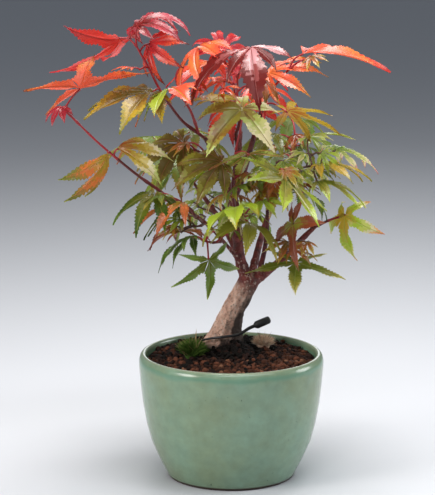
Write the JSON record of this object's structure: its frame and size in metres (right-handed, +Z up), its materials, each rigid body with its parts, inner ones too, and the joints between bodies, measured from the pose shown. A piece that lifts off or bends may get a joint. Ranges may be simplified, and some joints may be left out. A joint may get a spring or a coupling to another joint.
{
  "type": "potted maple bonsai",
  "caption": "Small red-and-green maple tree with a leaning trunk in a round glazed pot, with soil, moss and an anchor wire.",
  "frame": {"origin": "centre of the pot's flat underside", "axes": "+Z up, -Y is the front seen in the picture, +X to its right; the trunk leans towards +X"},
  "size_m": [0.1761, 0.1319, 0.2321],
  "materials": {
    "pot_glaze": "gloss celadon glaze",
    "soil": "rough red-brown grains",
    "trunk_bark": "matt bark",
    "bough_bark": "satin young bark",
    "shoot_bark": "satin red shoot",
    "moss": "matt moss",
    "dry_moss": "matt dried moss",
    "wire": "satin black coating",
    "sleeve": "satin black",
    "leaf_gold": "satin leaf",
    "leaf_red": "satin leaf",
    "leaf_wine": "satin leaf",
    "leaf_orange": "satin leaf",
    "leaf_lime": "satin leaf",
    "leaf_green": "satin leaf"
  },
  "bodies": {
    "root": {"pot": "pot_glaze", "soil": "soil", "trunk": "trunk_bark", "moss_tuft": "moss", "dry_moss": "dry_moss", "anchor_wire": "wire", "wire_sleeve": "sleeve", "leader": "bough_bark", "right_limb": "bough_bark", "left_shoot": "shoot_bark", "inner_limb": "bough_bark", "left_fork": "shoot_bark", "right_fork": "shoot_bark", "centre_shoot": "shoot_bark", "back_limb_left": "bough_bark", "back_limb_right": "bough_bark", "back_limb_top": "bough_bark", "spray_left": "leaf_gold", "spray_top_left": "leaf_red", "spray_top_centre": "leaf_wine", "spray_top_right": "leaf_orange", "spray_front": "leaf_lime", "spray_left_inner": "leaf_green", "spray_right_upper": "leaf_lime", "spray_right_front": "leaf_green", "spray_right_low": "leaf_lime", "spray_right_hanging": "leaf_orange", "spray_low_centre": "leaf_lime", "spray_low_left": "leaf_green", "spray_left_middle": "leaf_orange", "spray_left_under": "leaf_green", "spray_back_left": "leaf_green", "spray_back_right": "leaf_green", "spray_back_top": "leaf_orange", "spray_back_low": "leaf_lime"}
  },
  "joints": []
}
